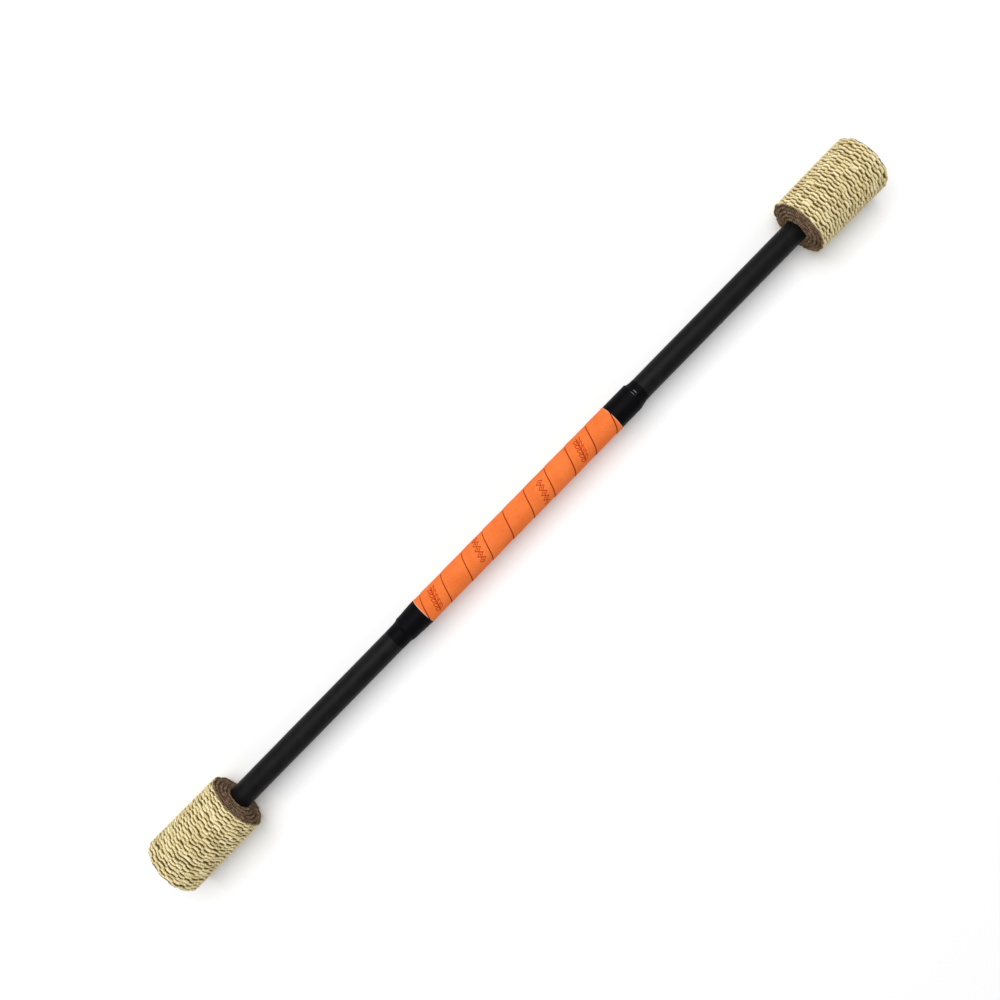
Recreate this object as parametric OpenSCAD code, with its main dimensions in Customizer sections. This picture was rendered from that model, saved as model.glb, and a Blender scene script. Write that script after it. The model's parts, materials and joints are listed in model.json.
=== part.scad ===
// Short fire staff: an aluminium tube in a black sleeve, with a wound grip in
// the middle and a roll of heatproof tape at each end.
// +X runs along the tube and +Z is up. The origin is on the tube's axis, at the
// middle of the grip. The staff lies on the flats of its two rolls, at -Z.

/* [Shaft] */
// Outer diameter of the aluminium tube
tube_d = 16; // [15:0.5:20]
// Wall thickness of the tube
tube_wall = 1.5; // [1:0.1:2]
// Thickness of the black sleeve on the tube
sleeve_wall = 0.7; // [0.4:0.05:1.2]
// Length of tube left free between the two wicks
free_length = 576; // [420:2:900]
// How far the tube's ends sit back inside the wicks' outer faces
tube_recess = 3; // [1:0.5:6]
// Length of the wooden plug in each end of the tube
dowel_length = 90; // [70:5:120]

/* [Wicks] */
// Width of the wick tape
tape_width = 65; // [50:1:100]
// Thickness of the wick tape
tape_thickness = 3.1; // [2:0.1:3.5]
// Turns of tape in each wick, the last one cut short by the climb under it
tape_turns = 5; // [4:1:7]
// Angle of roll over which the tape climbs onto the turn below
climb_angle = 60; // [40:10:80]
// Angle left open between the tape's tail and the foot of the climb
tail_gap = 8; // [4:1:15]

/* [Grip] */
// Length of grip between the two collars
grip_length = 194; // [120:2:240]
// Thickness of the wound grip tape, its overlaps included
grip_thickness = 1.7; // [1.4:0.1:3]
// Length of grip tape squeezed under the left collar
left_tuck = 18; // [10:0.5:24]
// Length of grip tape squeezed under the right collar
right_tuck = 21.5; // [10:0.5:24]

/* [Collars] */
// Wall thickness of the shrunk collars
collar_wall = 0.65; // [0.4:0.05:1]
// Thickness that the collars squeeze the grip tape to
squeezed_thickness = 0.9; // [0.7:0.05:1.2]
// How much thinner the left end of the grip tape gets under its collar
left_thinning = 0.75; // [0:0.05:0.8]
// Length of each collar
collar_length = 29; // [28:0.5:40]

/* [Screws] */
// Shank diameter of the short screws under the first turn of tape
start_screw_d = 3.5; // [3:0.1:4]
// Length of the short screws under their heads
start_screw_length = 8.5; // [7:0.5:9]
// Shank diameter of the long screws through the tape's tail
tail_screw_d = 4; // [3:0.1:4.5]
// Length of the long screws under their heads
tail_screw_length = 18; // [16:0.5:19]
// Distance between the two long screws of a wick
tail_screw_spacing = 34; // [20:1:40]

/* [Hidden] */

$fn = 64;
left = -1;
right = 1;
cut = 1;                  // how far a cutting shape runs past a face
clearance = 0.05;         // gap between pieces that are pushed together

tube_r = tube_d / 2;
bore_r = tube_r - tube_wall;
sleeve_r = tube_r + sleeve_wall;
wick_x = free_length / 2 + tape_width / 2;       // middle of each wick
tube_length = free_length + 2 * (tape_width - tube_recess);
dowel_x = tube_length / 2 - dowel_length / 2;
dowel_chamfer = 1;

// The roll of tape. Angles are in its own plane, from the tape's start at 0.
tape_pitch = tape_thickness + clearance;         // climb of one turn
tape_start_r = tube_r + clearance;               // under the first turn
tape_step = 10;                                  // angle between outline points
tape_end = 360 * tape_turns - climb_angle - tail_gap;
tape_outer_r = tape_start_r + tape_pitch * (tape_turns - 1) + tape_thickness;

// Screws, at their angles round the roll, and the pockets they pull into it
start_screw_spacing = 24;
start_screw_angle = 12;
start_washer_d = 8;
start_washer_t = 0.8;
start_head_d = 6;
start_head_t = 1.4;
tail_screw_angle = tape_end - 22;
tail_washer_d = 10;
tail_washer_t = 0.8;
tail_head_d = 7.5;
tail_head_t = 1.6;
start_top = tape_start_r + tape_thickness;       // heads end flush with the tape
start_seat = start_top - start_head_t - start_washer_t;
tail_top = tape_outer_r;
tail_seat = tail_top - tail_head_t - tail_washer_t;
screw_hole = 2 * clearance;                      // hole wider than its screw
screw_point = 3;
screw_tip_d = 0.4;
head_dome = 0.35;
cross_width = 0.8;
cross_depth = 0.9;

// Grip and collars
grip_r = sleeve_r + grip_thickness;
grip_x = grip_length / 2;
collar_x = grip_x + collar_length;
collar_step = 3.2;                               // length of the collars' step
collar_cuff_t = 0.12;                            // collar's wall on the sleeve
collar_lip_t = 0.08;                             // the same at its very end

function smooth(x) = x * x * (3 - 2 * x);
function turns_climbed(a) =
    floor(a / 360) + smooth(max(0, (a % 360 - 360 + climb_angle) / climb_angle));
function tape_r(a) = tape_start_r + tape_pitch * turns_climbed(a);
function on_roll(r, a) = r * [cos(a), sin(a)];

// The roll rests on its tail's edge and on the climb after it. Its flat is the
// steepest line from the tail's edge to the outside of the climb.
tail_edge = on_roll(tape_outer_r, tape_end);
climb_outside = [
    for (a = [tape_end - 360 + tape_step : tape_step / 4 : tape_end - 360 + 90])
        on_roll(tape_r(a) + tape_thickness, a)
];
flat_direction = min([
    for (p = climb_outside) atan2(p.y - tail_edge.y, p.x - tail_edge.x)
]);
roll_turn = -flat_direction;                     // turns the flat underneath

// Puts its children's +Z along a radius of one wick, at an angle of its roll
module on_radius(side, x, a) {
    translate([side * wick_x + x, 0, 0])
        rotate([a + roll_turn - 90, 0, 0])
            children();
}

// The same for both screws of a pair
module on_pair(side, spacing, a) {
    for (end = [left, right])
        on_radius(side, end * spacing / 2, a)
            children();
}

module screw(d, length, head_d, head_t, seat) {
    difference() {
        union() {
            translate([0, 0, seat])
                cylinder(d = head_d, h = head_t - head_dome);
            translate([0, 0, seat + head_t - head_dome])
                cylinder(d1 = head_d, d2 = head_d * 0.6, h = head_dome);
            translate([0, 0, seat - length + screw_point])
                cylinder(d = d, h = length - screw_point + head_t / 2);
            translate([0, 0, seat - length])
                cylinder(d1 = screw_tip_d, d2 = d, h = screw_point);
        }
        for (turn = [0, 90])
            translate([0, 0, seat + head_t - cross_depth / 2 + cut / 2])
                rotate([0, 0, turn])
                    cube([head_d * 0.6, cross_width, cross_depth + cut], center = true);
    }
}

module washer(d, t, hole_d, seat) {
    translate([0, 0, seat])
        difference() {
            cylinder(d = d, h = t);
            translate([0, 0, -cut])
                cylinder(d = hole_d, h = t + 2 * cut);
        }
}

module start_screws(side) {
    color("silver")
        on_pair(side, start_screw_spacing, start_screw_angle)
            screw(start_screw_d, start_screw_length, start_head_d, start_head_t,
                start_seat + start_washer_t);
}

module start_washers(side) {
    color("gainsboro")
        on_pair(side, start_screw_spacing, start_screw_angle)
            washer(start_washer_d, start_washer_t, start_screw_d + screw_hole, start_seat);
}

module tail_screws(side) {
    color("silver")
        on_pair(side, tail_screw_spacing, tail_screw_angle)
            screw(tail_screw_d, tail_screw_length, tail_head_d, tail_head_t,
                tail_seat + tail_washer_t);
}

module tail_washers(side) {
    color("gainsboro")
        on_pair(side, tail_screw_spacing, tail_screw_angle)
            washer(tail_washer_d, tail_washer_t, tail_screw_d + screw_hole, tail_seat);
}

// Holes for the screws of one wick, from the tube's axis out
module screw_holes(side) {
    on_pair(side, start_screw_spacing, start_screw_angle)
        cylinder(d = start_screw_d + screw_hole, h = start_top);
    on_pair(side, tail_screw_spacing, tail_screw_angle)
        cylinder(d = tail_screw_d + screw_hole, h = tail_top);
}

// Pockets in the tape for the washers and heads of one wick
module washer_pockets(side) {
    on_pair(side, start_screw_spacing, start_screw_angle)
        translate([0, 0, start_seat])
            cylinder(d = start_washer_d + screw_hole, h = start_top - start_seat + clearance / 2);
    on_pair(side, tail_screw_spacing, tail_screw_angle)
        translate([0, 0, tail_seat])
            cylinder(d = tail_washer_d + screw_hole, h = tail_top - tail_seat + cut);
}

module wick(side) {
    angles = [for (a = [0 : tape_step : tape_end - 1]) a, tape_end];
    last = len(angles) - 1;
    outside = [for (a = angles) on_roll(tape_r(a) + tape_thickness, a)];
    inside = [for (i = [last : -1 : 0]) on_roll(tape_r(angles[i]), angles[i])];
    color("khaki")
        difference() {
            translate([side * wick_x - tape_width / 2, 0, 0])
                rotate([roll_turn, 0, 0])
                    rotate([90, 0, 90])
                        linear_extrude(tape_width)
                            polygon(concat(outside, inside));
            screw_holes(side);
            washer_pockets(side);
        }
}

module shaft_tube() {
    color("silver")
        difference() {
            rotate([0, 90, 0])
                cylinder(r = tube_r, h = tube_length, center = true);
            rotate([0, 90, 0])
                cylinder(r = bore_r, h = tube_length + 2 * cut, center = true);
            screw_holes(left);
            screw_holes(right);
        }
}

module dowel(side) {
    dowel_r = bore_r - clearance;
    half = dowel_length / 2;
    color("burlywood")
        difference() {
            translate([side * dowel_x, 0, 0])
                rotate([0, 90, 0])
                    rotate_extrude()
                        polygon([
                            [0, -half],
                            [dowel_r - dowel_chamfer, -half],
                            [dowel_r, dowel_chamfer - half],
                            [dowel_r, half - dowel_chamfer],
                            [dowel_r - dowel_chamfer, half],
                            [0, half],
                        ]);
            screw_holes(side);
        }
}

module shaft_sleeve() {
    length = free_length - 2 * clearance;
    color("dimgray")
        rotate([0, 90, 0])
            difference() {
                cylinder(r = sleeve_r, h = length, center = true);
                cylinder(r = tube_r + clearance, h = length + 2 * cut, center = true);
            }
}

// Where the grip tape ends under a collar, and the radius that it is squeezed to
// at the collar's edge and at its own end. The left end bulges at the edge.
function tuck_x(side) = grip_x + (side == left ? left_tuck : right_tuck);
function edge_r(side) = sleeve_r + squeezed_thickness + (side == left ? left_thinning / 3 : 0);
function end_r(side) = edge_r(side) - (side == left ? left_thinning : 0);

module grip_tape() {
    inner_r = sleeve_r + clearance;
    color("orange")
        rotate([0, 90, 0])
            rotate_extrude()
                polygon([
                    [inner_r, -tuck_x(left)],
                    [end_r(left), -tuck_x(left)],
                    [edge_r(left), -grip_x],
                    [grip_r, -grip_x],
                    [grip_r, grip_x],
                    [edge_r(right), grip_x],
                    [end_r(right), tuck_x(right)],
                    [inner_r, tuck_x(right)],
                ]);
}

module collar(side) {
    end_x = tuck_x(side);
    inner_edge_r = edge_r(side) + clearance;
    inner_end_r = end_r(side) + clearance;
    cuff_r = sleeve_r + clearance;
    color("black")
        rotate([0, side * 90, 0])
            rotate_extrude()
                polygon([
                    [inner_edge_r, grip_x + clearance],
                    [inner_edge_r + collar_wall, grip_x + clearance],
                    [inner_end_r + collar_wall, end_x],
                    [cuff_r + collar_cuff_t, end_x + collar_step],
                    [cuff_r + collar_lip_t, collar_x],
                    [cuff_r, collar_x],
                    [cuff_r, end_x + clearance],
                    [inner_end_r, end_x + clearance],
                ]);
}

shaft_tube();
shaft_sleeve();
dowel(left);  // dowel_left
dowel(right);  // dowel_right
grip_tape();
collar(left);  // collar_left
collar(right);  // collar_right
wick(left);  // wick_left
wick(right);  // wick_right
start_screws(left);  // start_screws_left
start_screws(right);  // start_screws_right
start_washers(left);  // start_washers_left
start_washers(right);  // start_washers_right
tail_screws(left);  // tail_screws_left
tail_screws(right);  // tail_screws_right
tail_washers(left);  // tail_washers_left
tail_washers(right);  // tail_washers_right
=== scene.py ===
import json
import math

import bpy
import numpy as np
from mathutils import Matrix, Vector


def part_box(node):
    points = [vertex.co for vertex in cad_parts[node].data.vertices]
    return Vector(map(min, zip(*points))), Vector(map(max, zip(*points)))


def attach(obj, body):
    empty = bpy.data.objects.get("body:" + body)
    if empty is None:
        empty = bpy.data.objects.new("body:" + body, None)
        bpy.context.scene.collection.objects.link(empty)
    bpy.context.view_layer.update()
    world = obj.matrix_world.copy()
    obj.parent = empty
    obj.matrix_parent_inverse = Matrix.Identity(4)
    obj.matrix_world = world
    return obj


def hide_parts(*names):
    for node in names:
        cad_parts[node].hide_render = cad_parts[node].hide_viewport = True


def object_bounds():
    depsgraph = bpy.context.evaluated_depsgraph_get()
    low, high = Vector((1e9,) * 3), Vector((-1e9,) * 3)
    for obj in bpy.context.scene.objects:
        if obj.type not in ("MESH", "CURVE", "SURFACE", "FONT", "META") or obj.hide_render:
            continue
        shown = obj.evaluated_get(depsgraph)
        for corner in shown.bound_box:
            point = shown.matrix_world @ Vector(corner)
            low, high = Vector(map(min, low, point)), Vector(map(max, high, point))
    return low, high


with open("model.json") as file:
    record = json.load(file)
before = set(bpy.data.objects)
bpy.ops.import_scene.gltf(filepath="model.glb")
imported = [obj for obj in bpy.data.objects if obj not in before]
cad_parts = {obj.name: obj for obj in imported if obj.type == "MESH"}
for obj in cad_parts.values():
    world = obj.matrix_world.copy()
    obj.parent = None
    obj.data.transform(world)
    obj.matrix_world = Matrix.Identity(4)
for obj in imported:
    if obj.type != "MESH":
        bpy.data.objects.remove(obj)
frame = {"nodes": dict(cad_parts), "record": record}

CAD_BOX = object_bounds()
MM = 0.001

# ---------------------------------------------------------------- dimensions
# All in millimetres and degrees. What the frame holds is read from it below.

# The roll of tape, as the frame's solids have it
TAPE_TURNS = 5
CLIMB_ANGLE = 60.0
TAIL_GAP = 8.0
TAIL_TO_SCREW = 22.0
CLEARANCE = 0.05               # between neighbouring turns, and under the first
SCREW_SINK = 2.4               # of the tail's washers below the tape's surface

# The roll as the real tape lies, with its inner turns standing out at the grip's end
TAPE_SPREAD = 0.6              # how much wider the tape is than its solid
INNER_TURNS_OUT = 2.3
TAPER = 0.6                    # how much the roll's radius shrinks towards the grip
TAPE_STRAY = 0.35              # how far the tape strays sideways
HIDDEN_STEP, HIDDEN_COLUMNS = 0.65, 5  # mesh of the turns whose face is out of sight
WOVEN_OVERLAP = 14             # degrees of woven face that go on under the tape's tail

# The wicks' own layout on a baked picture, which keeps the weave in one stretch there
PICTURE_MAP = "OFBake"         # the UV map that colours are baked into
TAPE_PLACE_TOP, STRAND_PLACE_LOW = 0.96, 0.97      # the strands lie over the tape
EDGE_SHARE, HIDDEN_SHARE = 2, 0.05     # of the picture, against the outer face's 1

# How the tail screws' washers pull the tape down round them
WASHER_REACH, PULL_REACH = 5.2, 10     # from a screw's middle: level so far, pulled so far
PULL_SLOPE, PULL_POWER = 0.6, 1.15     # how the face rises again past the washer
PULLED_ANGLE = 120             # degrees of tape before its tail that can be pulled
PULLED_THICKNESS = 0.15        # the least that is left of the tape

# The weave of the tape's outer face
WARP_ENDS = 46                 # yarns across the tape
ROW_LENGTH = 5.35              # of one float, along the middle of the tape
COLUMNS_PER_END = 4            # mesh columns across one yarn
ROW_STATIONS = 13              # mesh stations along one float
YARN_CROWN = 0.7               # height of a yarn's top over its sides
YARN_LIFT = 0.6                # how far yarns rise and sink about the middle
YARN_WIDE, YARN_NARROW = 0.70, 0.54    # half widths, as shares of their spacing
YARN_LEAN = 0.20               # how far a float's ends lean to the yarn beside it, in ends
YARN_SWAY = 0.14               # spread of the floats' places, in ends
YARN_RISE = (-0.08, 0.09)      # mean and spread of their heights
YARN_SWELL = (0.99, 0.12)      # mean and spread of their widths, as shares
ROW_WAVER, YARN_WAVER = 0.32, 0.16     # how far rows and yarns stray, in rows and in ends
GAP_DEPTH = -1.6               # bottom of the gaps between floats
EDGE_ROUND = 1.0               # rounding of the tape's edges, across the tape
CROSSING_START = 0.40          # where a yarn leaves the face, in rows from its float's middle
CROSSING_LENGTH = 0.34         # rows in which it sinks out of sight
PLY_HEIGHT = 0.06              # of the twisted plies along each yarn
PLIES_PER_ROW = 3.5
PLY_SLANT = 0.45               # turns by which the plies slant over half a yarn

# The tape's edges, with one yarn that snakes up and down in each. Places and widths up and
# down are shares of half the tape's thickness.
LOOPS_PER_ROW = 4              # of yarn along the edges
EDGE_YARN_SWING, EDGE_YARN_WIDTH = 0.5, 0.55
EDGE_YARN_OUT = 0.55           # how far the yarn stands out
EDGE_SINK = 0.3                # how far the edge lies in beside it
EDGE_PLY, EDGE_UNEVEN = 0.07, 0.22     # height of its plies, and of the edge's lumps

# The yarn ends at the tape's cut tail
STRANDS_PER_END = 4
STRAND_LENGTH = (1.0, 2.6)
STRAND_RADIUS = 0.22
STRAND_BEND = (22, 48)         # degrees in towards the roll
STRAND_SPREAD = 0.25           # how far strands stray sideways, over their length
STRAND_PLACE = (-0.4, 0.1)     # off the tape's middle, as shares of its thickness

# The grip tape
GRIP_PITCH = 21.1              # of its helix, which is left-handed
GRIP_SEAM_X = 11.2             # where one seam crosses the top
GRIP_GAP = 0.10                # between neighbouring turns
GRIP_OVERLAP = 0.13            # how far a turn's near edge stands over the last turn
GRIP_THICKNESS = 1.7
LEFT_TUCK, RIGHT_TUCK = 18.0, 21.5     # length of grip tape under each collar
SQUEEZED_THICKNESS = 0.9               # of the grip tape under the collars
SQUEEZED_DROP = 0.2            # how much lower still its face lies there
SQUEEZED_RELIEF = 0.3          # share of its face's relief that stays there
SQUEEZE_REACH = 0.3            # how far both sides of a collar's edge it gives way
GRIP_LEAST = 0.1               # the least that is left of the tape
LEFT_THINNING = 0.75                   # of its left end
GRIP_END = 0.6                 # width of the tape at the tip of each tapered end
GRIP_UNEVEN = 0.04             # height of slow lumps along it
GRIP_COLUMNS = 62              # mesh columns across the middle of its face
SEAM_DEPTH, SEAM_REACH = 0.18, 0.12    # of the groove along each seam
SEAM_SHADE = 0.28              # reach of the painted shade beside it
ROUND_DEPTH, ROUND_REACH = 0.10, 0.7   # of the rounding beside it
MARK_DEPTH = 0.2               # of the pressed-in motif
BULGE_HEIGHT, BULGE_PLACE, BULGE_REACH = 0.22, 1.0, 0.75   # in front of the collars

# The sleeve and the shrunk collars
SLEEVE_UNEVEN, COLLAR_UNEVEN = 0.03, 0.04
SLEEVE_RINGS, SLEEVE_SIDES, COLLAR_SIDES = 286, 96, 128    # of their meshes
WICK_SHADE_START, WICK_SHADE_REACH, WICK_SHADE_UNEVEN = 2, 11, 2.5   # of the painted shade beside each wick
SLEEVE_END_DROP, SLEEVE_END_REACH = 0.12, 0.15     # rounding of the sleeve's ends
COLLAR_EDGE_DROP, COLLAR_EDGE_REACH = 0.16, 0.12   # rounding at the grip
CUFF_EDGE_DROP, CUFF_EDGE_REACH = 0.05, 0.1        # rounding at the other end
CUFF_THICKNESS = 0.1           # of what shows of the collar's end on the sleeve
COLLAR_INSIDE = 0.5            # depth of the collar's inner wall under its skin
GROOVE_DEPTH, GROOVE_REACH = 0.07, 0.8     # of the grip's seams, seen through the collar
# From the grip tape's end outwards: where a collar's step starts and how far that swings
# round the staff, then the step's length and how far that swings
STEPS = {"left": (-0.4, 0.0, 3.05, -1.05), "right": (-0.8, 1.4, 3.6, -1.9)}
CREASES = {"left": (), "right": ((-0.5, 0.32), (2.0, 0.42))}   # places from there, and heights
CREASE_HALF = 0.45             # half width of a crease
CREASE_ANGLE = 79.0            # where round the staff the creases are, from +Y to +Z
CREASE_EDGE, CREASE_FADE = 0.91, 0.1   # cosines off that angle at which they end, and fade out

# The pressed-in motif: a leafy sprig and two rows of lozenges, over and over
MOTIF_TURNS = 3.5              # turns of tape from one sprig to the next
SPRIG_TURN = 2.0               # where one sprig lies, in turns from the seam
LOZENGE_TURNS = (-0.04, 0.55)  # where one of each row of lozenges lies
LOZENGES_ACROSS = 3.0          # how far the rows lie off the tape's middle
SPRIG_LENGTH = 19.0
STROKE = 0.6                   # width of the motif's lines


def smooth(x):
    x = np.clip(x, 0, 1)
    return x * x * (3 - 2 * x)


def wander(values, seed, wavelengths):
    """A slow random curve, about -1 to 1, the same on every run."""
    rng = np.random.default_rng(seed)
    total = np.zeros_like(values, dtype=float)
    for length in wavelengths:
        total += np.sin(2 * np.pi * (values / length + rng.random()))
    return total / len(wavelengths)


def ripple(p, q, seed, waves):
    """A slow random surface over p and q, about -1 to 1. waves are pairs of wavelengths."""
    rng = np.random.default_rng(seed)
    return sum(np.sin(2 * np.pi * (p / a + q / b + rng.random())) for a, b in waves) / len(waves)


def box_mm(node):
    low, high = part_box(node)
    return np.array(low) / MM, np.array(high) / MM


def radius_mm(node):
    """The greatest distance of a node's surface from the staff's axis."""
    mesh = frame["nodes"][node].data
    points = np.empty(len(mesh.vertices) * 3)
    mesh.vertices.foreach_get("co", points)
    points = points.reshape(-1, 3) / MM
    return np.hypot(points[:, 1], points[:, 2]).max()


# ------------------------------------------------------------------- meshes
def make_piece(name, points, faces, values=None, picture_places=None):
    """A smooth-shaded mesh piece from points in millimetres. faces are lists of any length;
    values are numbers at the points, which the materials read by name. picture_places are the
    corners' places on a baked picture, for the UV map that colours are baked into."""
    mesh = bpy.data.meshes.new(name)
    mesh.from_pydata((points * MM).tolist(), [], [list(map(int, f)) for f in faces])
    mesh.polygons.foreach_set("use_smooth", [True] * len(mesh.polygons))
    for key, numbers in (values or {}).items():
        layer = mesh.attributes.new(key, "FLOAT", "POINT")
        layer.data.foreach_set("value", np.asarray(numbers, np.float32).ravel())
    if picture_places is not None:
        layer = mesh.uv_layers.new(name=PICTURE_MAP)
        layer.data.foreach_set("uv", np.asarray(picture_places, np.float32).ravel())
    mesh.validate()
    mesh.update()
    piece = bpy.data.objects.new(name, mesh)
    bpy.context.scene.collection.objects.link(piece)
    return piece


def tube_faces(stations, around, first=0):
    """Quads and two end caps of a closed tube of points[station, place around]."""
    i, j = np.meshgrid(np.arange(stations - 1), np.arange(around), indexing="ij")
    k = (j + 1) % around
    corners = [i * around + j, (i + 1) * around + j, (i + 1) * around + k, i * around + k]
    quads = (np.stack([c.ravel() for c in corners], 1) + first).tolist()
    start = (np.arange(around) + first).tolist()
    end = (np.arange(around)[::-1] + (stations - 1) * around + first).tolist()
    return quads + [start, end]


def ring_faces(stations, around):
    """Quads of a ring: a tube of points whose last station joins its first."""
    i, j = np.meshgrid(np.arange(stations), np.arange(around), indexing="ij")
    k, m = (j + 1) % around, (i + 1) % stations
    corners = [i * around + j, m * around + j, m * around + k, i * around + k]
    return np.stack([c.ravel() for c in corners], 1).tolist()


def tube_places(stations, shares, low, high):
    """Places on a baked picture for the corners of tube_faces, in its order, between the
    corners low and high: the tube's length goes right, and its strips go up by their shares."""
    u = np.linspace(low[0], high[0], stations)
    v = low[1] + (high[1] - low[1]) * np.concatenate([[0], np.cumsum(shares)]) / np.sum(shares)
    i, j = np.meshgrid(np.arange(stations - 1), np.arange(len(shares)), indexing="ij")
    corners = [(u[i], v[j]), (u[i + 1], v[j]), (u[i + 1], v[j + 1]), (u[i], v[j + 1])]
    quads = np.stack([np.stack([a.ravel(), b.ravel()], 1) for a, b in corners], 1)
    start = np.stack([np.full(len(shares), u[0]), v[:-1]], 1)
    end = np.stack([np.full(len(shares), u[-1]), v[-2::-1]], 1)
    return np.concatenate([quads.reshape(-1, 2), start, end])


class Parts:
    """Collects stretches of mesh, with the values at their points, into one piece."""

    def __init__(self):
        self.points, self.faces, self.values, self.count = [], [], {}, 0
        self.places = []

    def add_tube(self, grid, values, shares, low, high):
        self.places.append(tube_places(grid.shape[0], shares, low, high))
        self.faces += tube_faces(grid.shape[0], grid.shape[1], self.count)
        self.points.append(grid.reshape(-1, 3))
        self.count += grid.shape[0] * grid.shape[1]
        for key, array in values.items():
            self.values.setdefault(key, []).append(np.broadcast_to(array, grid.shape[:2]).ravel())

    def make(self, name):
        values = {key: np.concatenate(arrays) for key, arrays in self.values.items()}
        points, places = np.concatenate(self.points), np.concatenate(self.places)
        return make_piece(name, points, self.faces, values, places)


def lathe(name, profile, around, wobble, values=None):
    """A closed ring about the X axis from profile, pairs of x and radius in order round the
    wall's section. wobble(x, radius, angle) returns the radius to use."""
    angle = np.linspace(0, 2 * np.pi, around, endpoint=False)
    x = np.repeat(profile[:, :1], around, 1)
    r = np.repeat(profile[:, 1:], around, 1)
    a = np.repeat(angle[None, :], len(profile), 0)
    r = wobble(x, r, a)
    points = np.stack([x, r * np.cos(a), r * np.sin(a)], -1).reshape(-1, 3)
    numbers = {key: make(x, a) for key, make in (values or {}).items()}
    return make_piece(name, points, ring_faces(len(profile), around), numbers)


# -------------------------------------------------------------------- wicks
class Roll:
    """The spiral that a wick's tape lies in, read from the frame's solids."""

    def __init__(self, side):
        low, high = box_mm(f"wick_{side}")
        self.middle = (low[0] + high[0]) / 2
        self.width = high[0] - low[0] + TAPE_SPREAD
        self.outward = math.copysign(1, self.middle)
        self.outer_r = radius_mm(f"wick_{side}")
        self.start_r = box_mm("shaft_tube")[1][2] + CLEARANCE
        self.pitch = (self.outer_r - self.start_r + CLEARANCE) / TAPE_TURNS
        self.thickness = self.pitch - CLEARANCE
        self.tail = 360 * TAPE_TURNS - CLIMB_ANGLE - TAIL_GAP
        low, high = box_mm(f"tail_washers_{side}")
        washer_r = (high[2] - low[2]) / 2
        self.screw_x = (low[0] + washer_r, high[0] - washer_r)
        y, z = (low[1] + high[1]) / 2, (low[2] + high[2]) / 2
        self.screw_angle = math.degrees(math.atan2(z, y))
        self.turn = self.screw_angle + TAIL_TO_SCREW - self.tail
        a = np.linspace(0, self.tail, 4000)
        r = self.middle_r(a)
        steps = np.radians(np.diff(a)) * (r[1:] + r[:-1]) / 2
        self.table = a, np.concatenate([[0], np.cumsum(steps)])
        self.length = self.table[1][-1]

    def middle_r(self, a):
        """Radius of the middle of the tape at angle a from its start."""
        whole = np.floor(a / 360)
        part = (a - 360 * whole - 360 + CLIMB_ANGLE) / CLIMB_ANGLE
        return self.start_r + self.pitch * (whole + smooth(part)) + self.thickness / 2

    def angle_at(self, s):
        return np.interp(s, self.table[1], self.table[0])

    def length_at(self, a):
        return np.interp(a, self.table[0], self.table[1])

    def shift_at(self, a):
        """How far the tape lies off the roll's middle, at angle a from its start."""
        inside = 1 - np.clip(a / 360 / (TAPE_TURNS - 1), 0, 1)
        return -self.outward * (TAPE_SPREAD / 2 + INNER_TURNS_OUT * inside)


def weave(u, w, seed):
    """The woven face at row u and warp end w: its height in millimetres, 0 at the tops of the
    floats, then place across the yarn from -1 to 1, and a random tone for each float."""
    rng = np.random.default_rng(seed)
    fade = smooth(np.minimum(w, WARP_ENDS - w) / 3)
    row_stray = ROW_WAVER * ripple(w, u, seed + 3, ((13, 19), (5.9, -11), (23, 7)))
    yarn_stray = YARN_WAVER * ripple(u, w, seed + 4, ((5.3, 17), (2.9, -13), (11, 31)))
    u, w = u + row_stray, w + fade * yarn_stray
    rows = int(u.max()) + 4
    sway = rng.normal(0, YARN_SWAY, (WARP_ENDS, rows))
    rise = rng.normal(*YARN_RISE, (WARP_ENDS, rows))
    swell = rng.normal(*YARN_SWELL, (WARP_ENDS, rows))
    tones = rng.random((WARP_ENDS, rows))
    height = np.full(u.shape, GAP_DEPTH)
    across = np.zeros(u.shape)
    tone = np.full(u.shape, 0.5)
    for step in (-1, 0, 1):
        n = np.floor(w).astype(int) + step
        inside = (n >= 0) & (n < WARP_ENDS)
        n = np.clip(n, 0, WARP_ENDS - 1)
        row = 2 * np.round((u - n % 2) / 2).astype(int) + n % 2     # where the yarn is on top
        row = np.clip(row, 0, rows - 1)
        lift = 1 - 2 * smooth((np.abs(u - row) - CROSSING_START) / CROSSING_LENGTH)
        half = (YARN_NARROW + (YARN_WIDE - YARN_NARROW) * (lift + 1) / 2) * swell[n, row]
        lean = YARN_LEAN * smooth(np.abs(u - row) / 0.7) * (1 - 2 * (n % 2))
        q = (w - n - 0.5 - sway[n, row] - lean) / half
        dome = np.sqrt(np.clip(1 - q * q, 0, 1))
        z = YARN_CROWN * (dome - 1) + YARN_LIFT * (lift - 1) + rise[n, row]
        plies = PLIES_PER_ROW * u + PLY_SLANT * q + 3 * tones[n, row]
        z += PLY_HEIGHT * np.sin(2 * np.pi * plies)
        wins = inside & (np.abs(q) < 1) & (z > height)
        height = np.where(wins, z, height)
        across = np.where(wins, q, across)
        tone = np.where(wins, tones[n, row], tone)
    return height, across, tone


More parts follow.
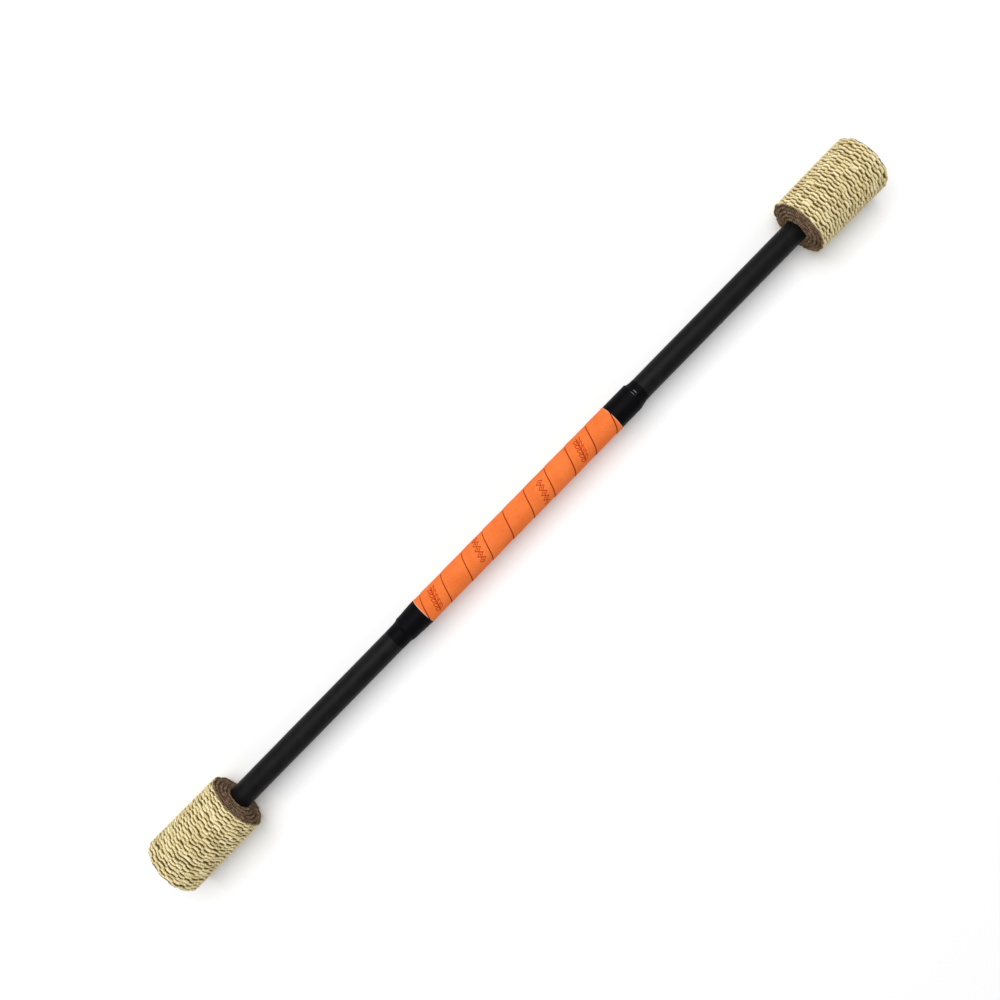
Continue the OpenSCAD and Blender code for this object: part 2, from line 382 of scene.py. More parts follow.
def section_outline(roll, columns):
    """The tape's section, going round it: places across the tape, how far each point leans
    to the outer face, from -1 to 1, and how far to an edge, from 0 to 1."""
    flat = roll.width / 2 - EDGE_ROUND
    tilt, edge_points, bottom = 72, 9, 4
    round_edge = np.radians(np.linspace(tilt, -tilt, edge_points))
    x = np.concatenate([
        np.linspace(-flat, flat, columns), flat + EDGE_ROUND * np.cos(round_edge),
        np.linspace(flat, -flat, bottom), -flat - EDGE_ROUND * np.cos(round_edge[::-1]),
    ])
    lean = np.concatenate([
        np.ones(columns), np.sin(round_edge), -np.ones(bottom), np.sin(round_edge[::-1]),
    ])
    edge = np.concatenate([
        np.zeros(columns), np.cos(round_edge), np.zeros(bottom), np.cos(round_edge[::-1]),
    ])
    return x, lean, edge


def pulled_down(roll, radius, angle, x):
    """Radius of the tape's outer face where the tail screws' washers pull it down."""
    off = (angle + roll.turn - roll.screw_angle + 180) % 360 - 180
    sideways = np.radians(off) * roll.outer_r
    seat = roll.outer_r - SCREW_SINK - CLEARANCE
    floor = roll.middle_r(angle) - roll.thickness / 2 + PULLED_THICKNESS
    for screw_x in roll.screw_x:
        reach = np.hypot(sideways, x - screw_x)
        limit = seat / np.cos(np.radians(np.clip(off, -60, 60)))
        limit = limit + PULL_SLOPE * np.clip(reach - WASHER_REACH, 0, None) ** PULL_POWER
        pulled = np.maximum(np.minimum(radius, limit), floor)
        near = (angle > roll.tail - PULLED_ANGLE) & (reach < PULL_REACH)
        radius = np.where(near, pulled, radius)
    return radius


def tape_stretch(roll, start, end, step, columns, seed):
    """One closed stretch of the tape: points[station, place], and the values at them."""
    count = max(2, int(round((end - start) / step)) + 1)
    x, lean, edge = section_outline(roll, columns)
    S, X = np.meshgrid(np.linspace(start, end, count), x, indexing="ij")
    half_w = roll.width / 2
    u = S / ROW_LENGTH
    if columns > WARP_ENDS:
        w = np.clip((X + half_w) / roll.width * WARP_ENDS, 0.02, WARP_ENDS - 0.02)
        height, across, tone = weave(u, w, seed)
    else:
        height, across, tone = np.full(u.shape, -0.3), np.zeros(u.shape), np.full(u.shape, 0.5)
    angle = roll.angle_at(S)
    radius = roll.middle_r(angle) + roll.thickness / 2 * lean + np.clip(lean, 0, 1) * height
    inward = (1 - X * roll.outward / half_w) / 2
    radius -= TAPER * inward * (lean + 1) / 2 * S / roll.length
    # the outermost yarn of each edge snakes up and down in it, and its plies show
    snake = EDGE_YARN_SWING * np.cos(np.pi * u + np.where(X > 0, np.pi, 0))
    yarn = np.exp(-((lean - snake) / EDGE_YARN_WIDTH) ** 2)
    plies = np.sin(2 * np.pi * (PLIES_PER_ROW * u + 0.4 * lean))
    uneven = ripple(S + 50 * np.sign(X), lean, seed + 5, ((2.9, 3), (4.7, -5), (9.1, 4)))
    out = EDGE_YARN_OUT * yarn - EDGE_SINK + EDGE_PLY * plies * yarn + EDGE_UNEVEN * uneven
    stray = TAPE_STRAY * wander(S, seed + 1, (61, 37, 17))
    across_roll = roll.middle + X + edge * out * np.sign(X) + roll.shift_at(angle) + stray
    radius = np.where(lean > 0, pulled_down(roll, radius, angle, across_roll), radius)
    turn = np.radians(angle + roll.turn)
    points = np.stack([across_roll, radius * np.cos(turn), radius * np.sin(turn)], -1)
    values = {
        "depth": np.where(lean >= 1, height, -0.35),
        "across": across,
        "along": u,
        "tone": tone,
        "edge": edge if columns > WARP_ENDS else np.ones(u.shape),
    }
    return points, values


def tail_strand(roll, rng, x, r):
    """One strand of cut yarn at the tape's tail: a thin tapered tube, bent in to the roll."""
    length = rng.uniform(*STRAND_LENGTH)
    lean = rng.uniform(*STRAND_BEND)
    spread = rng.normal(0, STRAND_SPREAD)
    turn = math.radians(roll.tail + roll.turn)
    start = np.array([x, r * math.cos(turn), r * math.sin(turn)])
    out = np.array([0, math.cos(turn), math.sin(turn)])
    ahead = np.array([0, -math.sin(turn), math.cos(turn)])
    t = np.linspace(-0.4, 1, 4)[:, None] * length
    bend = np.radians(lean) * (0.7 + 0.3 * t / length)
    middle = start + t * (np.cos(bend) * ahead - np.sin(bend) * out)
    middle[:, 0] += spread * t[:, 0]
    thick = STRAND_RADIUS * rng.uniform(0.7, 1.2) * np.array([1, 1, 0.8, 0.25])[:, None, None]
    around = np.radians([45, 135, 225, 315])
    sides = np.cos(around)[:, None] * np.array([1.0, 0, 0]) + np.sin(around)[:, None] * out
    return middle[:, None, :] + thick * sides[None]


def picture_shares(roll, columns, face_share):
    """How much of a baked picture each strip round the tape's section gets: as its width, but
    more for the edges, face_share for the outer face and hardly any for the inner face."""
    x, lean, edge = section_outline(roll, columns)
    width = np.hypot(np.roll(x, -1) - x, (np.roll(lean, -1) - lean) * roll.thickness / 2)
    importance = np.where(edge > 0, EDGE_SHARE, np.where(lean > 0, face_share, HIDDEN_SHARE))
    return width * importance


def make_wick(side, seed):
    """The roll in two pieces: the inner turns, and the outer turn with its woven face."""
    roll = Roll(side)
    outer_start = roll.length_at(roll.tail - 360 - WOVEN_OVERLAP)
    inner, outer = Parts(), Parts()
    shares = picture_shares(roll, HIDDEN_COLUMNS, HIDDEN_SHARE)
    stretch = tape_stretch(roll, 0, outer_start, HIDDEN_STEP, HIDDEN_COLUMNS, seed)
    inner.add_tube(*stretch, shares, (0, 0), (1, 1))
    step = ROW_LENGTH / ROW_STATIONS
    columns = WARP_ENDS * COLUMNS_PER_END + 1
    shares = picture_shares(roll, columns, 1)
    stretch = tape_stretch(roll, outer_start, roll.length, step, columns, seed)
    outer.add_tube(*stretch, shares, (0, 0), (1, TAPE_PLACE_TOP))
    rng = np.random.default_rng(seed + 2)
    tail_x = roll.middle + roll.shift_at(roll.tail)
    strands = WARP_ENDS * STRANDS_PER_END
    for n in range(strands):
        x = tail_x + ((n + 0.5) / strands - 0.5) * (roll.width - 1)
        r = roll.middle_r(roll.tail) + rng.uniform(*STRAND_PLACE) * roll.thickness
        values = {"depth": -0.3, "across": 0, "along": rng.random(), "tone": rng.random(),
                  "edge": 0}
        spot = (n / strands, STRAND_PLACE_LOW), ((n + 0.9) / strands, 1)
        outer.add_tube(tail_strand(roll, rng, x, r), values, np.ones(4), *spot)
    for parts, name in ((inner, "inner_turns"), (outer, "outer_turn")):
        finish_piece(parts.make(f"wick_{side}_{name}"), "wick_aramid", f"wick_{side}")


# --------------------------------------------------------------------- grip
def stroke_depth(distance):
    """Depth of a pressed line, from 0 to 1, at a distance from its middle."""
    return smooth((STROKE / 2 + 0.15 - distance) / 0.3)


def sprig_depth(along, across):
    """A straight stem with pairs of pointed leaves."""
    pairs, spacing = 5, 3.5
    leaf_length, leaf_half, leaf_angle = 4.6, 1.0, math.radians(42)
    past_end = np.clip(np.abs(along) - SPRIG_LENGTH / 2, 0, None)
    depth = stroke_depth(np.hypot(past_end, across))
    for n in range(pairs):
        from_base = along - (n - pairs / 2) * spacing
        p = from_base * math.cos(leaf_angle) + np.abs(across) * math.sin(leaf_angle)
        q = np.abs(across) * math.cos(leaf_angle) - from_base * math.sin(leaf_angle)
        half = leaf_half * np.sin(np.pi * np.clip(p / leaf_length, 0, 1))
        past_tip = np.maximum(-p, p - leaf_length).clip(0)
        depth = np.maximum(depth, stroke_depth(np.hypot(past_tip, np.abs(q) - half)))
    return depth


def lozenges_depth(along, across):
    """Five lozenges in a row, with a dot inside each."""
    spacing, half_along, half_across = 4.0, 1.8, 2.6
    shortest_way = 1.48            # to the outline from the middle
    dot_radius, dot_edge = 0.75, 0.35
    depth = np.zeros(along.shape)
    for n in range(-2, 3):
        off = np.abs(along - spacing * n)
        outline = np.abs(off / half_along + np.abs(across) / half_across - 1) * shortest_way
        depth = np.maximum(depth, stroke_depth(outline))
        dot = smooth((dot_radius - np.hypot(off, across)) / dot_edge)
        depth = np.maximum(depth, dot)
    return depth


def motif_places(first, last):
    """Every motif between two turns of the tape: its turn, place across, and depth function."""
    rows = [(SPRIG_TURN, 0.0, sprig_depth)]
    rows += [(turn, LOZENGES_ACROSS, lozenges_depth) for turn in LOZENGE_TURNS]
    places = []
    for turn, across, shape in rows:
        low = math.ceil((first - turn) / MOTIF_TURNS)
        high = math.floor((last - turn) / MOTIF_TURNS)
        places += [(turn + n * MOTIF_TURNS, across, shape) for n in range(low, high + 1)]
    return places


def grip_stations(first, last, length_per_turn, places):
    """Turns at which the grip tape has mesh stations, closer together at the motifs."""
    coarse, fine = 1.1 / length_per_turn, 0.26 / length_per_turn
    reach = (SPRIG_LENGTH / 2 + 0.8) / length_per_turn
    stations, t = [], first
    while t < last:
        stations.append(t)
        near = any(abs(t - turn) < reach for turn, across, shape in places)
        t += fine if near else coarse
    return np.array(stations + [last])


def make_grip():
    low, high = box_mm("grip_tape")
    sleeve_r = radius_mm("shaft_sleeve")
    radius = sleeve_r + GRIP_THICKNESS
    left_edge, right_edge = low[0] + LEFT_TUCK, high[0] - RIGHT_TUCK
    inner = sleeve_r + CLEARANCE
    per_turn = 2 * np.pi * radius
    half = (GRIP_PITCH - GRIP_GAP) / 2
    # both ends of the tape are cut to a taper, so that the winding ends square
    first = (low[0] + GRIP_END - half - GRIP_SEAM_X) / GRIP_PITCH - 0.5
    last = (high[0] - GRIP_END + half - GRIP_SEAM_X) / GRIP_PITCH - 0.5
    places = motif_places(first, last)
    side = np.array([0, 0.06, 0.18, 0.4, 0.8])
    top = np.concatenate([
        -half + side, np.linspace(-half + 1.2, half - 1.2, GRIP_COLUMNS), half - side[::-1],
    ])
    across = np.concatenate([top, [half, half * 0.3, -half * 0.3, -half]])
    upper = np.concatenate([np.ones(len(top)), np.zeros(4)])
    T, A = np.meshgrid(grip_stations(first, last, per_turn, places), across, indexing="ij")
    U = np.broadcast_to(upper, T.shape)
    middle = GRIP_SEAM_X + GRIP_PITCH * (T + 0.5)
    near_edge = np.maximum(-half, low[0] - middle)
    far_edge = np.minimum(half, high[0] - middle)
    A = near_edge + (far_edge - near_edge) * (A + half) / (2 * half)
    x = middle + A
    edge = half - np.abs(A)
    mark = np.zeros(T.shape)
    for turn, off, shape in places:
        mark = np.maximum(mark, shape((T - turn) * per_turn, A - off))
    outer = radius - GRIP_OVERLAP * A / half + GRIP_UNEVEN * wander(A + 9 * T, 3, (31, 13))
    groove = SEAM_DEPTH * np.exp(-edge / SEAM_REACH) + ROUND_DEPTH * np.exp(-edge / ROUND_REACH)
    outer -= groove + MARK_DEPTH * mark
    # the tape bulges in front of the collars and is squeezed thin under them
    to_edge = np.where(x < 0, x - left_edge, right_edge - x)
    outer += BULGE_HEIGHT * np.exp(-((to_edge - BULGE_PLACE) / BULGE_REACH) ** 2)
    under = smooth((SQUEEZE_REACH - to_edge) / (2 * SQUEEZE_REACH))
    thinner = np.where(x < 0, LEFT_THINNING * (1 / 3 - np.clip(-to_edge / LEFT_TUCK, 0, 1)), 0)
    squeezed = sleeve_r + SQUEEZED_THICKNESS + thinner - SQUEEZED_DROP
    squeezed = squeezed + SQUEEZED_RELIEF * (outer - radius)
    outer = outer * (1 - under) + np.maximum(squeezed, inner + GRIP_LEAST) * under
    r = np.where(U > 0, outer, inner)
    angle = np.pi / 2 - 2 * np.pi * T
    points = np.stack([x, r * np.cos(angle), r * np.sin(angle)], -1)
    values = {"mark": mark * U, "seam": np.exp(-edge / SEAM_SHADE) * U}
    faces = tube_faces(T.shape[0], T.shape[1])
    grip = make_piece("grip_wrap", points.reshape(-1, 3), faces, values)
    return finish_piece(grip, "grip_orange", "grip_tape")


# ------------------------------------------------------- sleeve and collars
def make_sleeve():
    high = box_mm("shaft_sleeve")[1]
    radius, end = radius_mm("shaft_sleeve"), high[0]
    inner = box_mm("shaft_tube")[1][2] + CLEARANCE / 2
    x = np.concatenate([
        -end + np.array([0, 0.05, 0.2, 0.5]), np.linspace(-end + 1.5, end - 1.5, SLEEVE_RINGS),
        end - np.array([0.5, 0.2, 0.05, 0]),
    ])
    drop = SLEEVE_END_DROP * np.exp(-(end - np.abs(x)) / SLEEVE_END_REACH)
    outside = np.stack([x, radius - drop], 1)
    inside = np.array([[end, inner], [-end, inner]])

    def wobble(x, r, a):
        slow = wander(x + 40 * np.sin(a), 11, (230, 97, 41))
        return r + np.where(r > inner + 0.1, SLEEVE_UNEVEN * slow, 0)

    profile = np.concatenate([outside, inside])
    values = {"painted_wick_shade": lambda x, a: painted_wick_shade(end - np.abs(x), a)}
    sleeve = lathe("shaft_skin", profile, SLEEVE_SIDES, wobble, values)
    return finish_piece(sleeve, "sleeve_black", "shaft_sleeve")


def painted_wick_shade(from_end, angle):
    """How much painted shade of a wick lies on the sleeve next to it, from 0 to 1."""
    reach = WICK_SHADE_REACH + WICK_SHADE_UNEVEN * wander(np.degrees(angle), 71, (120, 72, 40))
    return 1 - smooth((from_end - WICK_SHADE_START) / reach)


def make_collar(side, seed):
    node = f"collar_{side}"
    low, high = box_mm(node)
    outward = math.copysign(1, low[0] + high[0])
    near, far = sorted(np.abs([low[0], high[0]]))
    sleeve_r = radius_mm("shaft_sleeve")
    step_x = near + (LEFT_TUCK if side == "left" else RIGHT_TUCK)
    thinning = LEFT_THINNING if side == "left" else 0
    edge_r = radius_mm(node)
    step_r = edge_r - thinning
    cuff_r = sleeve_r + CUFF_THICKNESS
    x = np.concatenate([
        near + np.array([0, 0.03, 0.1, 0.25]), np.linspace(near + 0.6, step_x - 2, 36),
        np.linspace(step_x - 1.75, step_x + 5.5, 59), np.linspace(step_x + 5.7, far - 0.5, 6),
        far - np.array([0.3, 0.12, 0.03, 0]),
    ])
    inner = np.array([[far, cuff_r - 0.08], [step_x + 5, cuff_r - 0.08],
                      [step_x - 0.4, step_r - COLLAR_INSIDE], [near, edge_r - COLLAR_INSIDE]])
    profile = np.concatenate([np.stack([x, np.full(len(x), edge_r)], 1), inner])
    start, start_swing, length, length_swing = STEPS[side]

    def step_start(a):
        """The tape's end is cut aslant, so the step is short on one side and long on the other."""
        return step_x + start + start_swing * np.cos(a)

    def step_length(a):
        return length + length_swing * np.cos(a)

    def crease(x, a):
        """Rolled folds in the shrunk tube, on the side that faces up."""
        off = x - step_x
        ridge = sum(h * np.exp(-((off - c) / CREASE_HALF) ** 2) for c, h in CREASES[side])
        return ridge * smooth((np.cos(a - np.radians(CREASE_ANGLE)) - CREASE_EDGE) / CREASE_FADE)

    def wobble(x, r, a):
        outside = r > edge_r - 0.01
        shoulder = smooth((x - step_start(a)) / step_length(a))
        body = edge_r - thinning * smooth((x - near) / (step_x - near))
        cuff = cuff_r - 0.05 * smooth((x - far + 3) / 3)
        skin = body * (1 - shoulder) + cuff * shoulder
        skin -= COLLAR_EDGE_DROP * np.exp(-(x - near) / COLLAR_EDGE_REACH)
        skin -= CUFF_EDGE_DROP * np.exp(-(far - x) / CUFF_EDGE_REACH)
        seam = (outward * x - GRIP_SEAM_X) / GRIP_PITCH + (np.degrees(a) - 90) / 360
        away = np.abs(seam - np.round(seam)) * GRIP_PITCH
        skin -= GROOVE_DEPTH * np.exp(-(away / GROOVE_REACH) ** 2) * smooth((step_x - x) / 2)
        lumps = wander(x * 3 + 9 * np.sin(a + 1), seed, (23, 13, 7))
        skin += COLLAR_UNEVEN * lumps * (1 - shoulder)
        skin += crease(x, a)
        return np.where(outside, skin, r)

    values = {"crease": lambda x, a: crease(x, a)}
    collar = lathe(f"{node}_shrink", profile, COLLAR_SIDES, wobble, values)
    if outward < 0:
        collar.data.transform(((-1, 0, 0, 0), (0, 1, 0, 0), (0, 0, 1, 0), (0, 0, 0, 1)))
        collar.data.flip_normals()
    return finish_piece(collar, "collar_black", node)


def finish_piece(piece, slot, *nodes):
    """Every piece rides on the staff's one body and takes its material by the slot's name."""
    piece.data.materials.append(MATERIALS[slot])
    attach(piece, "root")
    if nodes:
        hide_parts(*nodes)
    return piece


# ---------------------------------------------------------------- materials
def add(tree, kind, inputs=None, **settings):
    """A node with its settings, and its inputs set to numbers or linked to sockets."""
    node = tree.nodes.new("ShaderNode" + kind)
    for key, value in settings.items():
        setattr(node, key, value)
    for key, value in (inputs or {}).items():
        if isinstance(value, bpy.types.NodeSocket):
            tree.links.new(value, node.inputs[key])
        else:
            node.inputs[key].default_value = value
    return node


def new_shader(name, **uniform):
    """A material with a Principled shader, its uniform numbers set on the shader itself."""
    material = bpy.data.materials.new(name)
    material.use_nodes = True
    tree = material.node_tree
    shader = tree.nodes["Principled BSDF"]
    for key, value in uniform.items():
        shader.inputs[key.replace("_", " ")].default_value = value
    return material, tree, shader


def value_of(tree, name):
    return add(tree, "Attribute", attribute_name=name).outputs["Fac"]


def math_node(tree, operation, *values):
    return add(tree, "Math", dict(enumerate(values)), operation=operation).outputs[0]


def blend_colours(tree, factor, a, b):
    inputs = {0: factor, 6: a, 7: b}
    return add(tree, "Mix", inputs, data_type="RGBA").outputs[2]


def ramp(tree, value, low, high, to_low=0.0, to_high=1.0):
    inputs = {"Value": value, "From Min": low, "From Max": high,
              "To Min": to_low, "To Max": to_high}
    return add(tree, "MapRange", inputs).outputs["Result"]


def place(tree, stretch=(1, 1, 1)):
    """Position in millimetres, stretched."""
    scale = [s / MM for s in stretch]
    position = add(tree, "TexCoord").outputs["Object"]
    return add(tree, "Mapping", {"Vector": position, "Scale": scale}).outputs["Vector"]


def noise(tree, vector, size, detail=2.0, roughness=0.5):
    """Noise of about 0 to 1, with lumps of the given size in millimetres."""
    inputs = {"Vector": vector, "Scale": 1 / size, "Detail": detail, "Roughness": roughness}
    return add(tree, "TexNoise", inputs).outputs["Fac"]


def bump(tree, height, distance, strength=1.0, normal=None):
    inputs = {"Height": height, "Distance": distance * MM, "Strength": strength}
    if normal:
        inputs["Normal"] = normal
    return add(tree, "Bump", inputs).outputs["Normal"]


def colour(red, green, blue):
    return (red, green, blue, 1)


def wave_along(tree, per_row, start):
    """A wave of -1 to 1 along the tape, from a starting turn that may vary."""
    turns = math_node(tree, "MULTIPLY", value_of(tree, "along"), per_row)
    turns = math_node(tree, "ADD", turns, start)
    return math_node(tree, "SINE", math_node(tree, "MULTIPLY", turns, 2 * math.pi))


def ply_wave(tree, per_row, slant):
    """The same along each yarn, slanting across it as the weave's plies do."""
    aslant = math_node(tree, "MULTIPLY", value_of(tree, "across"), slant)
    start = math_node(tree, "MULTIPLY", value_of(tree, "tone"), 3)
    return wave_along(tree, per_row, math_node(tree, "ADD", aslant, start))


def aramid():
    material, tree, shader = new_shader(
        "aramid_weave", Roughness=0.8, Specular_IOR_Level=0.1)
    depth = value_of(tree, "depth")
    tone, edge = value_of(tree, "tone"), value_of(tree, "edge")
    spot = place(tree)
    fibres = noise(tree, spot, 0.35, 3, 0.6)
    patches = noise(tree, spot, 9, 2)
    # twisted plies along each yarn, coarse as the mesh has them and fine between those. The coarse
    # ones are painted lighter on their crests and darker between them: painted highlight and shade
    coarse = ply_wave(tree, PLIES_PER_ROW, PLY_SLANT)
    light = math_node(tree, "ADD", ramp(tree, tone, 0, 1, 0, 0.45),
                      ramp(tree, coarse, -1, 1, -0.3, 0.25))
    light = math_node(tree, "ADD", light, ramp(tree, fibres, 0.3, 0.7, -0.2, 0.25))
    light = math_node(tree, "ADD", light, ramp(tree, patches, 0.3, 0.7, 0.0, 0.5))
    top = blend_colours(tree, light, colour(0.80, 0.68, 0.36), colour(0.99, 0.91, 0.62))
    # painted shade by depth: the yarns' flanks are darker than their tops, and the gaps between
    # the floats darker still; speckle makes it uneven
    speckle = noise(tree, spot, 0.8, 3, 0.6)
    depth = math_node(tree, "ADD", depth, ramp(tree, speckle, 0.38, 0.62, -0.32, 0.32))
    side = blend_colours(tree, ramp(tree, depth, -0.5, 0.0), colour(0.51, 0.395, 0.17), top)
    painted_gap_shade = blend_colours(tree, fibres, colour(0.042, 0.026, 0.006), colour(0.13, 0.085, 0.024))
    weave_colour = blend_colours(tree, ramp(tree, depth, -1.2, -0.6), painted_gap_shade, side)
    # the tape's edges are rows of yarn loops, a little uneven, painted lighter where the loops
    # stand out. Their dark brown is partly the yarn's own browner tone and partly painted shade
    loops = wave_along(tree, LOOPS_PER_ROW, math_node(tree, "MULTIPLY", speckle, 0.9))
    edge_shade_mottle = math_node(tree, "ADD", ramp(tree, fibres, 0.25, 0.75, -0.1, 0.5),
                     ramp(tree, noise(tree, spot, 2.2, 3, 0.6), 0.38, 0.62, -0.15, 0.5))
    edge_shade_mottle = math_node(tree, "ADD", edge_shade_mottle, ramp(tree, loops, -1, 1, -0.2, 0.3))
    end = blend_colours(tree, edge_shade_mottle, colour(0.065, 0.038, 0.021), colour(0.34, 0.225, 0.135))
    skin = blend_colours(tree, ramp(tree, edge, 0.15, 0.6), weave_colour, end)
    tree.links.new(skin, shader.inputs["Base Color"])
    normal = bump(tree, ply_wave(tree, 2 * PLIES_PER_ROW, 2 * PLY_SLANT), 0.05, 0.6)
    normal = bump(tree, math_node(tree, "MULTIPLY", loops, edge), 0.2, 0.8, normal)
    normal = bump(tree, fibres, 0.12, 0.8, normal)
    tree.links.new(normal, shader.inputs["Normal"])
    return material


def soft_grip():
    material, tree, shader = new_shader("soft_grip", Roughness=0.62, Specular_IOR_Level=0.04)
    mark, seam = value_of(tree, "mark"), value_of(tree, "seam")
    spot = place(tree)
    cells = add(tree, "TexVoronoi", {"Vector": spot, "Scale": 1.5}, feature="SMOOTH_F1")
    grain = cells.outputs["Distance"]
    patches = noise(tree, spot, 14, 3)
    creases = noise(tree, place(tree, (0.6, 1, 1)), 2.2, 4, 0.65)
    body = blend_colours(tree, ramp(tree, patches, 0.35, 0.65), colour(0.75, 0.153, 0.032),
                         colour(0.82, 0.186, 0.042))
    # painted highlight: the grain is lighter where it stands up
    body = blend_colours(tree, ramp(tree, grain, 0.35, 0.75, 0, 0.35), body,
                         colour(0.92, 0.252, 0.066))
    body = blend_colours(tree, ramp(tree, creases, 0.54, 0.70, 0, 0.22), body,
                         colour(0.58, 0.085, 0.016))
    # a painted highlight along the tape's bulge against the collars
    edge_x = box_mm("grip_tape")[1][0] - RIGHT_TUCK
    along = add(tree, "SeparateXYZ", {"Vector": spot}).outputs["X"]
    rim_highlight = ramp(tree, math_node(tree, "ABSOLUTE", along), edge_x - 0.9, edge_x - 0.2, 0, 0.8)
    pale = blend_colours(tree, rim_highlight, body, colour(0.88, 0.52, 0.38))
    pressed = blend_colours(tree, ramp(tree, mark, 0.1, 0.9, 0, 0.92), pale,
                            colour(0.38, 0.016, 0.002))
    # painted shade in the seams' grooves
    skin = blend_colours(tree, ramp(tree, seam, 0.12, 0.6, 0, 0.97), pressed,
                         colour(0.24, 0.006, 0.001))
    tree.links.new(skin, shader.inputs["Base Color"])
    normal = bump(tree, grain, 0.10, 0.8)
    normal = bump(tree, creases, 0.35, 0.6, normal)
    tree.links.new(normal, shader.inputs["Normal"])
    return material


def black_sleeve():
    material, tree, shader = new_shader("satin_black_sleeve", Specular_IOR_Level=0.075)
    streaks = noise(tree, place(tree, (0.02, 1, 1)), 0.5, 3)
    scuffs = noise(tree, place(tree), 7, 4, 0.6)
    skin = blend_colours(tree, ramp(tree, scuffs, 0.3, 0.75), colour(0.0048, 0.0048, 0.0054),
                         colour(0.0090, 0.0090, 0.0100))
    # painted shade next to each wick, where the sleeve is also rougher
    skin = blend_colours(tree, value_of(tree, "painted_wick_shade"), skin, colour(0.0022, 0.0021, 0.0020))
    tree.links.new(skin, shader.inputs["Base Color"])
    rough = math_node(tree, "ADD", ramp(tree, streaks, 0.3, 0.7, 0.36, 0.44),
                      ramp(tree, scuffs, 0.4, 0.7, 0, 0.08))
    rough = math_node(tree, "ADD", rough, ramp(tree, value_of(tree, "painted_wick_shade"), 0, 1, 0, 0.35))
    tree.links.new(rough, shader.inputs["Roughness"])
    tree.links.new(bump(tree, streaks, 0.01, 0.5), shader.inputs["Normal"])
    return material


def black_shrink():
    material, tree, shader = new_shader(
        "black_shrink_collar", Specular_IOR_Level=0.04, Coat_Roughness=0.12, Coat_IOR=1.9)
    streaks = noise(tree, place(tree, (0.3, 1, 1)), 0.8, 3)
    scuffs = noise(tree, place(tree), 3, 4, 0.6)
    skin = blend_colours(tree, scuffs, colour(0.0010, 0.0010, 0.0014),
                         colour(0.0032, 0.0032, 0.0042))
    tree.links.new(skin, shader.inputs["Base Color"])
    tree.links.new(ramp(tree, scuffs, 0.3, 0.7, 0.42, 0.55), shader.inputs["Roughness"])
    shine = ramp(tree, value_of(tree, "crease"), 0.1, 0.3, 0.0, 0.8)
    tree.links.new(shine, shader.inputs["Coat Weight"])
    tree.links.new(bump(tree, streaks, 0.02, 0.6), shader.inputs["Normal"])
    return material


def drawn_aluminium():
    material, tree, shader = new_shader("drawn_aluminium", Metallic=1.0)
    lines = noise(tree, place(tree, (0.01, 1, 1)), 0.15, 3)
    dull = noise(tree, place(tree), 2.5, 3)
    skin = blend_colours(tree, dull, colour(0.50, 0.50, 0.51), colour(0.68, 0.68, 0.69))
    tree.links.new(skin, shader.inputs["Base Color"])
    tree.links.new(ramp(tree, dull, 0.3, 0.7, 0.32, 0.5), shader.inputs["Roughness"])
    tree.links.new(bump(tree, lines, 0.01, 0.6), shader.inputs["Normal"])
    return material


def zinc_steel(name, low, high):
    material, tree, shader = new_shader(name, Metallic=1.0)
    cloud = noise(tree, place(tree), 0.9, 4, 0.6)
    skin = blend_colours(tree, cloud, colour(*low), colour(*high))
    tree.links.new(skin, shader.inputs["Base Color"])
    tree.links.new(ramp(tree, cloud, 0.3, 0.7, 0.25, 0.45), shader.inputs["Roughness"])
    tree.links.new(bump(tree, cloud, 0.02, 0.5), shader.inputs["Normal"])
    return material


def dowel_wood():
    material, tree, shader = new_shader("beech_dowel", Roughness=0.7)
    spot = place(tree, (0.03, 1, 1))
    drift = add(tree, "Mapping", {"Vector": spot, "Location": (0, 9, 5)}).outputs["Vector"]
    rings = add(tree, "TexWave", {"Vector": drift, "Scale": 0.16, "Distortion": 1.5,
                                  "Detail": 3.0, "Detail Scale": 1.2},
                wave_type="RINGS", rings_direction="X").outputs["Fac"]
    pores = noise(tree, place(tree, (0.1, 1, 1)), 0.25, 2)
    skin = blend_colours(tree, rings, colour(0.44, 0.26, 0.11), colour(0.66, 0.46, 0.24))
    skin = blend_colours(tree, ramp(tree, pores, 0.55, 0.75, 0, 0.5), skin,
                         colour(0.22, 0.12, 0.05))
    tree.links.new(skin, shader.inputs["Base Color"])
    tree.links.new(bump(tree, pores, 0.05, 0.6), shader.inputs["Normal"])
    return material


MATERIALS = {
    "wick_aramid": aramid(),
    "grip_orange": soft_grip(),
    "sleeve_black": black_sleeve(),
    "collar_black": black_shrink(),
    "tube_aluminium": drawn_aluminium(),
    "screw_steel": zinc_steel("zinc_screws", (0.50, 0.50, 0.52), (0.72, 0.72, 0.72)),
    "washer_steel": zinc_steel("zinc_washers", (0.46, 0.46, 0.48), (0.66, 0.66, 0.66)),
    "dowel_wood": dowel_wood(),
}


def dress_cad_nodes():
    """The frame's own solids that stay in view get their slot's material."""
    for row in frame["record"]["subparts"]:
        mesh = frame["nodes"][row["node"]].data
        mesh.materials.clear()
        mesh.materials.append(MATERIALS[row["material_slot"]])


# ------------------------------------------------------------ camera, stage
CAMERA_HEIGHT = 0.700          # over the staff's axis
CAMERA_LENS = 35.1             # on the usual 36 mm sensor
STAFF_TILT = math.radians(45.61)       # the staff's +X, up from the picture's right
MIDDLE_RIGHT, MIDDLE_DOWN = 0.01277, 0.01027   # the staff's middle from the picture's


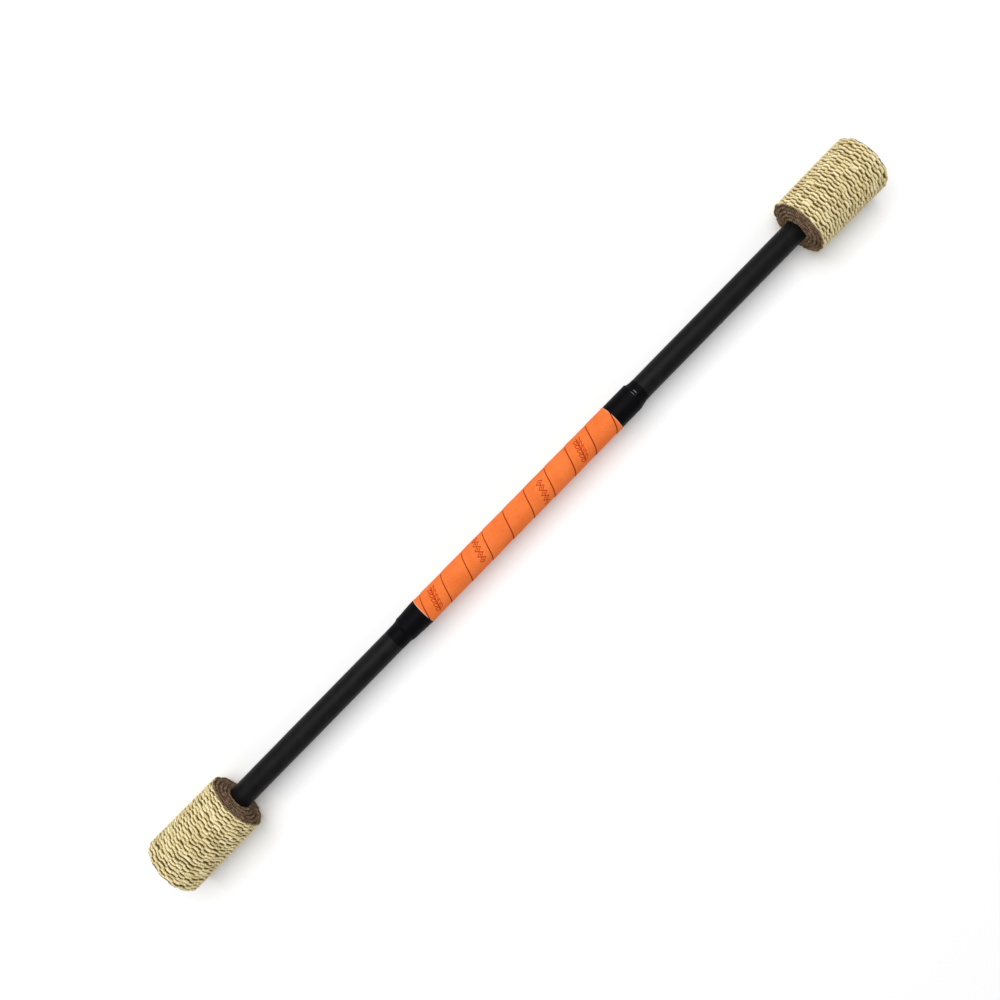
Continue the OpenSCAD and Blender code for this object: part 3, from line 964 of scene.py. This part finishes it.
def make_camera():
    data = bpy.data.cameras.new("camera")
    data.lens = CAMERA_LENS
    camera = bpy.data.objects.new("camera", data)
    bpy.context.scene.collection.objects.link(camera)
    c, s = math.cos(STAFF_TILT), math.sin(STAFF_TILT)
    right, up = np.array([c, -s]), np.array([s, c])
    x, y = MIDDLE_DOWN * up - MIDDLE_RIGHT * right
    camera.location = (x, y, CAMERA_HEIGHT)
    camera.rotation_euler = (0, 0, -STAFF_TILT)
    bpy.context.scene.camera = camera


def make_floor():
    size = 6.0
    low = CAD_BOX[0].z
    corners = [(-size, -size, low), (size, -size, low), (size, size, low), (-size, size, low)]
    mesh = bpy.data.meshes.new("floor")
    mesh.from_pydata(corners, [], [(0, 1, 2, 3)])
    floor = bpy.data.objects.new("floor", mesh)
    bpy.context.scene.collection.objects.link(floor)
    material, tree, shader = new_shader("floor_white", Roughness=0.9)
    shader.inputs["Base Color"].default_value = colour(0.93, 0.93, 0.93)
    mesh.materials.append(material)


def area_light(name, toward, distance, size, power):
    """A square lamp at a place given in the picture's right, up and towards-camera."""
    data = bpy.data.lights.new(name, "AREA")
    data.size = size
    data.energy = power
    lamp = bpy.data.objects.new(name, data)
    bpy.context.scene.collection.objects.link(lamp)
    c, s = math.cos(STAFF_TILT), math.sin(STAFF_TILT)
    right, up, near = Vector((c, -s, 0)), Vector((s, c, 0)), Vector((0, 0, 1))
    spot = toward[0] * right + toward[1] * up + toward[2] * near
    lamp.location = spot.normalized() * distance
    lamp.rotation_euler = (-spot).to_track_quat("-Z", "Y").to_euler()


def make_lights():
    world = bpy.data.worlds.new("studio")
    bpy.context.scene.world = world
    world.use_nodes = True
    background = world.node_tree.nodes["Background"]
    background.inputs["Color"].default_value = (1, 1, 1, 1)
    background.inputs["Strength"].default_value = 0.5
    area_light("softbox", toward=(-0.25, 0.25, 1), distance=2.4, size=2.0, power=52)
    bpy.context.scene.view_settings.view_transform = "Standard"


make_camera()
make_lights()
make_floor()
dress_cad_nodes()
make_wick("left", 5)
make_wick("right", 23)
make_grip()
make_sleeve()
make_collar("left", 31)
make_collar("right", 47)
